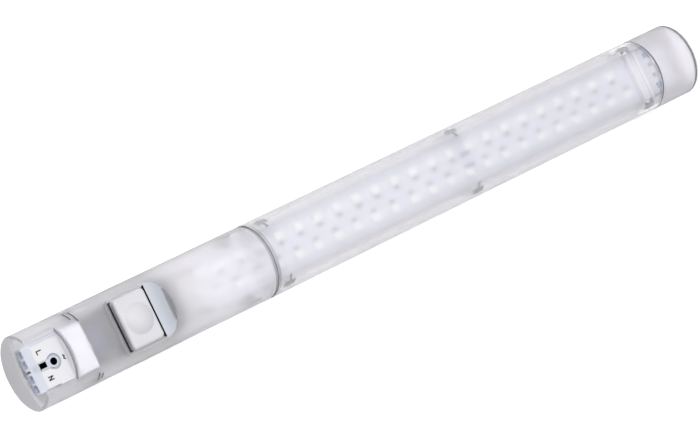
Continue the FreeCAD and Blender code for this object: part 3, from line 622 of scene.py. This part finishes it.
def pick_rear_shell(point, normal):
    """The flat face at the terminal end is darker than the rest, as painted shade."""
    return "end_face_shade" if normal.x < -SQUARE_ON and point.x < REAR_END_FACE else "frosted_rear"


def pick_end_cap(point, normal):
    """The line round the closed end and the face at the seam are dark, as painted shade."""
    on_line = within(point.x, RIM_LINE_X) and radius_of(point) > RIM_LINE_R
    return "seam_shadow" if on_line or point.x < CAP_SEAM_FACE else "frosted_housing"


def prism_depth(x, y):
    """How deep the ridges inside the lens are at a place. They fade out along a curve near the right end."""
    if x < LENS_LAP_END:
        return 0.0
    end = PRISM_END + PRISM_END_RISE * (y / PRISM_END_AT) ** 2
    return PRISM_DEPTH * max(0.0, min(1.0, end - x))


def lens_profile(x, ridge):
    """One section across the lens as (y, z) points, round the outside and back along the inside."""
    turns = [math.pi * k / LENS_STEPS for k in range(LENS_STEPS + 1)]
    outside = [(OUTER_R * math.cos(turn), OUTER_R * math.sin(turn)) for turn in turns]
    wall_r = LENS_LAP_R if x < LENS_LAP_END else INNER_R
    low = math.asin(REBATE_HEIGHT / wall_r)
    inside = []
    for k in range(LENS_STEPS + 1):
        angle = low + (math.pi - 2 * low) * (LENS_STEPS - k) / LENS_STEPS
        r = wall_r + ridge * prism_depth(x, wall_r * math.cos(angle))
        inside.append((r * math.cos(angle), r * math.sin(angle)))
    inner_step = max(REBATE_R, wall_r)
    return (outside + [(-inner_step, 0.0), (-inner_step, REBATE_HEIGHT)] + inside
            + [(inner_step, REBATE_HEIGHT), (inner_step, 0.0)])


def lens_stations():
    """The places along the lens where a section stands, each with 0 or 1 for a ridge's foot or crest."""
    half = PRISM_PITCH / 2
    count = int((LENS_RIGHT - LENS_LAP_END) / half)
    inner = [(LENS_LAP_END + PRISM_FROM_LAP + k * half, k % 2) for k in range(count)]
    return [(LENS_LEFT, 0), (LENS_LAP_END - LENS_LAP_STEP, 0)] + inner + [(LENS_RIGHT, 0)]


def loft(sections):
    """A closed mesh through equal rings of points, with flat ends."""
    mesh = bpy.data.meshes.new("loft")
    bm = bmesh.new()
    rings = [[bm.verts.new(Vector(point) * MM) for point in section] for section in sections]
    count = len(rings[0])
    for one, two in zip(rings, rings[1:]):
        for k in range(count):
            after = (k + 1) % count
            bm.faces.new((one[k], one[after], two[after], two[k]))
    bm.faces.new(rings[0][::-1])
    bm.faces.new(rings[-1])
    bmesh.ops.triangulate(bm, faces=[face for face in bm.faces if len(face.verts) > 4])
    bmesh.ops.recalc_face_normals(bm, faces=bm.faces)
    bm.to_mesh(mesh)
    bm.free()
    return mesh


def smooth_outside(mesh, sharp_degrees=5.0):
    """Smooth shading, except over edges sharper than the given angle, so the ridges keep their facets."""
    for face in mesh.polygons:
        face.use_smooth = True
    mesh.set_sharp_from_angle(angle=math.radians(sharp_degrees))
    return mesh


def add_block(bm, low, high, bevel=0.0, material=0):
    """A block between two corners in mm, with its edges rounded."""
    size = [b - a for a, b in zip(low, high)]
    middle = [(a + b) / 2 for a, b in zip(low, high)]
    made = bmesh.ops.create_cube(bm, size=1.0, matrix=Matrix.Translation(Vector(middle) * MM)
                                 @ Matrix.Diagonal((*[v * MM for v in size], 1)))
    faces = {face for vert in made["verts"] for face in vert.link_faces}
    for face in faces:
        face.material_index = material
    if bevel:
        edges = {edge for face in faces for edge in face.edges}
        bmesh.ops.bevel(bm, geom=list(edges), offset=bevel * MM, segments=2, affect="EDGES", material=-1)


def finish_mesh(bm, name):
    """The mesh made from bm, which is freed."""
    mesh = bpy.data.meshes.new(name)
    bm.to_mesh(mesh)
    bm.free()
    return mesh


def add_hugging_bar(bm, x, y, radius, thickness):
    """A thin bar that hugs the round of the tube, between two places along X and two across. All in mm."""
    steps = 6
    across = [y[0] + (y[1] - y[0]) * k / steps for k in range(steps + 1)]
    rows = []
    for end_x in x:
        row = [(end_x, v, math.sqrt(radius ** 2 - v ** 2)) for v in across]
        row += [(end_x, v, math.sqrt((radius - thickness) ** 2 - v ** 2)) for v in reversed(across)]
        rows.append([bm.verts.new(Vector(point) * MM) for point in row])
    count = len(rows[0])
    made = [bm.faces.new((rows[0][k], rows[0][(k + 1) % count], rows[1][(k + 1) % count], rows[1][k]))
            for k in range(count)]
    made += [bm.faces.new(rows[0][::-1]), bm.faces.new(rows[1])]
    bmesh.ops.recalc_face_normals(bm, faces=made)


def make_lens():
    """The lens with real ridges inside, in place of the plain CAD one."""
    sections = [[(x, y, z) for y, z in lens_profile(x, ridge)] for x, ridge in lens_stations()]
    mesh = smooth_outside(loft(sections))
    add_piece("lens_prismatic", mesh, ["clear_lens"], "lamp", "clear_lens", "lens_cover")


def make_hooks():
    """The lens's snap hooks, seen as small T shapes."""
    bm = bmesh.new()
    for center in HOOK_X:
        for side in (-1, 1):
            for half, span in ((HOOK_BAR_HALF, HOOK_BAR_Y), (HOOK_STEM_HALF, HOOK_STEM_Y)):
                across = sorted(side * y for y in span)
                add_hugging_bar(bm, (center - half, center + half), across, HOOK_TOP_R, HOOK_THICKNESS)
    add_piece("lens_hooks", finish_mesh(bm, "lens_hooks"), ["hook_plastic"], "lamp", "clear_lens")


def make_snap_slots():
    """The front shell's two pairs of snap slots, dark grey as painted shade in the openings."""
    bm = bmesh.new()
    for x, across in SNAP_SLOTS:
        add_hugging_bar(bm, (x - SNAP_SLOT_HALF, x + SNAP_SLOT_HALF), across, SNAP_SLOT_R, SNAP_SLOT_DEPTH)
    add_piece("shell_snap_slots", finish_mesh(bm, "shell_snap_slots"), ["gap_shade_grey"], "lamp",
              "frosted_housing")


def led_places():
    """The middle of each LED on the boards, as (x, y)."""
    return [(start + k * LED_PITCH, y) for y, start in LED_ROWS for k in range(LED_COUNT)]


def add_lathe(bm, center, rings, material):
    """A round form about Z on the board, through rings of (radius, height over it), closed at both ends."""
    x, y = center
    turns = [math.tau * k / LATHE_STEPS for k in range(LATHE_STEPS)]
    loops = []
    for radius, height in rings:
        z = BOARD_TOP + height
        ring = [(x + radius * math.cos(turn), y + radius * math.sin(turn), z) for turn in turns]
        loops.append([bm.verts.new(Vector(point) * MM) for point in ring])
    for one, two in zip(loops, loops[1:]):
        for k in range(LATHE_STEPS):
            after = (k + 1) % LATHE_STEPS
            bm.faces.new((one[k], one[after], two[after], two[k])).material_index = material
    bm.faces.new(loops[0][::-1]).material_index = material
    bm.faces.new(loops[-1]).material_index = material


def add_slab(bm, middle, half_x, half_y, heights, bevel, material):
    """A block on the board round a middle (x, y), between two heights over the board."""
    x, y = middle
    low, high = heights
    add_block(bm, (x - half_x, y - half_y, BOARD_TOP + low), (x + half_x, y + half_y, BOARD_TOP + high),
              bevel, material)


def add_ends(bm, middle, span, half_y, height, bevel, material):
    """A tinned end on both sides of a chip. span is where an end starts and stops, from the middle."""
    x, y = middle
    for side in (-1, 1):
        low, high = sorted(x + side * reach for reach in span)
        add_block(bm, (low, y - half_y, BOARD_TOP), (high, y + half_y, BOARD_TOP + height), bevel, material)


def add_led(bm, x, y):
    """A white package with a round rim, a phosphor disc inside it and a tinned end on each side."""
    add_slab(bm, (x, y), LED_HALF_X, LED_HALF_Y, (0, LED_HEIGHT), LED_BEVEL, 0)
    add_lathe(bm, (x, y), LED_RIM, 0)
    add_lathe(bm, (x, y), LED_PHOSPHOR, 1)
    add_ends(bm, (x, y), LED_END_X, LED_END_HALF_Y, LED_END_HEIGHT, LED_END_BEVEL, 2)


def make_rim(name, section, arc, finish):
    """A rim round part of the front shell, from a section turned through an arc."""
    low, high = arc
    angles = [math.radians(low + (high - low) * k / RIM_STEPS) for k in range(RIM_STEPS + 1)]
    rings = [[(x, r * math.cos(a), r * math.sin(a)) for x, r in section] for a in angles]
    add_piece(name, smooth_outside(loft(rings), 40.0), [finish], "lamp", "frosted_housing")


def make_leds():
    """The LEDs of both boards, each board's in place of its CAD node."""
    for name, span in BOARD_SPANS.items():
        bm = bmesh.new()
        for x, y in led_places():
            if within(x, span):
                add_led(bm, x, y)
        add_piece(f"{name}_detailed", finish_mesh(bm, name), ["led_white", "phosphor", "solder"], "lamp",
                  "led_white", name)


def make_resistors():
    """Chip resistors: a dark top on a pale ceramic body, with tinned ends in small solder fillets."""
    bm = bmesh.new()
    for x, led_y in led_places():
        if abs(x - BOARD_JOINT) < RESISTOR_FROM_JOINT:
            continue
        middle = (x, math.copysign(RESISTOR_Y, led_y))
        add_slab(bm, middle, RESISTOR_HALF_X, RESISTOR_HALF_Y, (0, RESISTOR_HEIGHT), RESISTOR_BEVEL, 1)
        add_slab(bm, middle, RESISTOR_TOP_HALF_X, RESISTOR_TOP_HALF_Y, RESISTOR_TOP_Z,
                 RESISTOR_TOP_BEVEL, 0)
        add_ends(bm, middle, RESISTOR_END_X, RESISTOR_END_HALF_Y, RESISTOR_END_HEIGHT,
                 RESISTOR_END_BEVEL, 2)
    add_piece("led_resistors_detailed", finish_mesh(bm, "led_resistors"),
              ["resistor_grey", "fuse_white", "solder"], "lamp", "component_black", "led_resistors")


def make_tracks():
    """Copper tracks under the boards' white mask, from each LED to the next, with a rail on each side."""
    bm = bmesh.new()
    top = BOARD_TOP + TRACK_THICKNESS
    for x, y in led_places():
        left, right = x + TRACK_FROM_LED, x + LED_PITCH - TRACK_FROM_LED
        over_joint = abs(x + LED_PITCH / 2 - BOARD_JOINT) <= TRACK_FROM_JOINT
        if x + LED_PITCH < TRACK_LAST_LED and not over_joint:
            add_block(bm, (left, y - TRACK_HALF_Y, BOARD_TOP), (right, y + TRACK_HALF_Y, top), TRACK_BEVEL)
    for low, high in RAIL_SPANS:
        for y in (-RAIL_Y, RAIL_Y):
            add_block(bm, (low, y - RAIL_HALF_Y, BOARD_TOP), (high, y + RAIL_HALF_Y, top), TRACK_BEVEL)
    add_piece("board_tracks", finish_mesh(bm, "board_tracks"), ["track_white"], "lamp", "led_board_white")


def dress_cad_nodes():
    """Gives every CAD node its finish."""
    for name, node in NODES.items():
        node.data.materials.clear()
        node.data.materials.append(MATERIALS[FINER_FINISH.get(name, SLOT_OF[name])])


add_camera()
add_floor()
add_light()
MATERIALS = build_materials()
dress_cad_nodes()
finish_faces("terminal_housing", "lamp", ["terminal_blue", "hole_shade_black"], pick_terminal)
finish_faces("front_shell", "lamp", ["frosted_housing", "rim_shade_grey", "groove_shade_grey", "frosted_floor",
                                     "hole_shade_black", "gap_shade_grey", "bulkhead_white"], pick_front_shell)
finish_faces("rear_shell", "lamp", ["frosted_rear", "end_face_shade"], pick_rear_shell)
finish_faces("end_cap", "lamp", ["frosted_housing", "seam_shadow"], pick_end_cap)
make_lens()
make_hooks()
make_snap_slots()
# A painted highlight along the front shell's edge at the seam
make_rim("seam_highlight_bead", SEAM_BEAD, SEAM_BEAD_ARC, "bead_highlight_white")
# The edge round the terminal opening is dark grey as painted shade
make_rim("opening_edge", OPENING_EDGE, OPENING_EDGE_ARC, "rim_shade_grey")
make_leds()
make_resistors()
make_tracks()
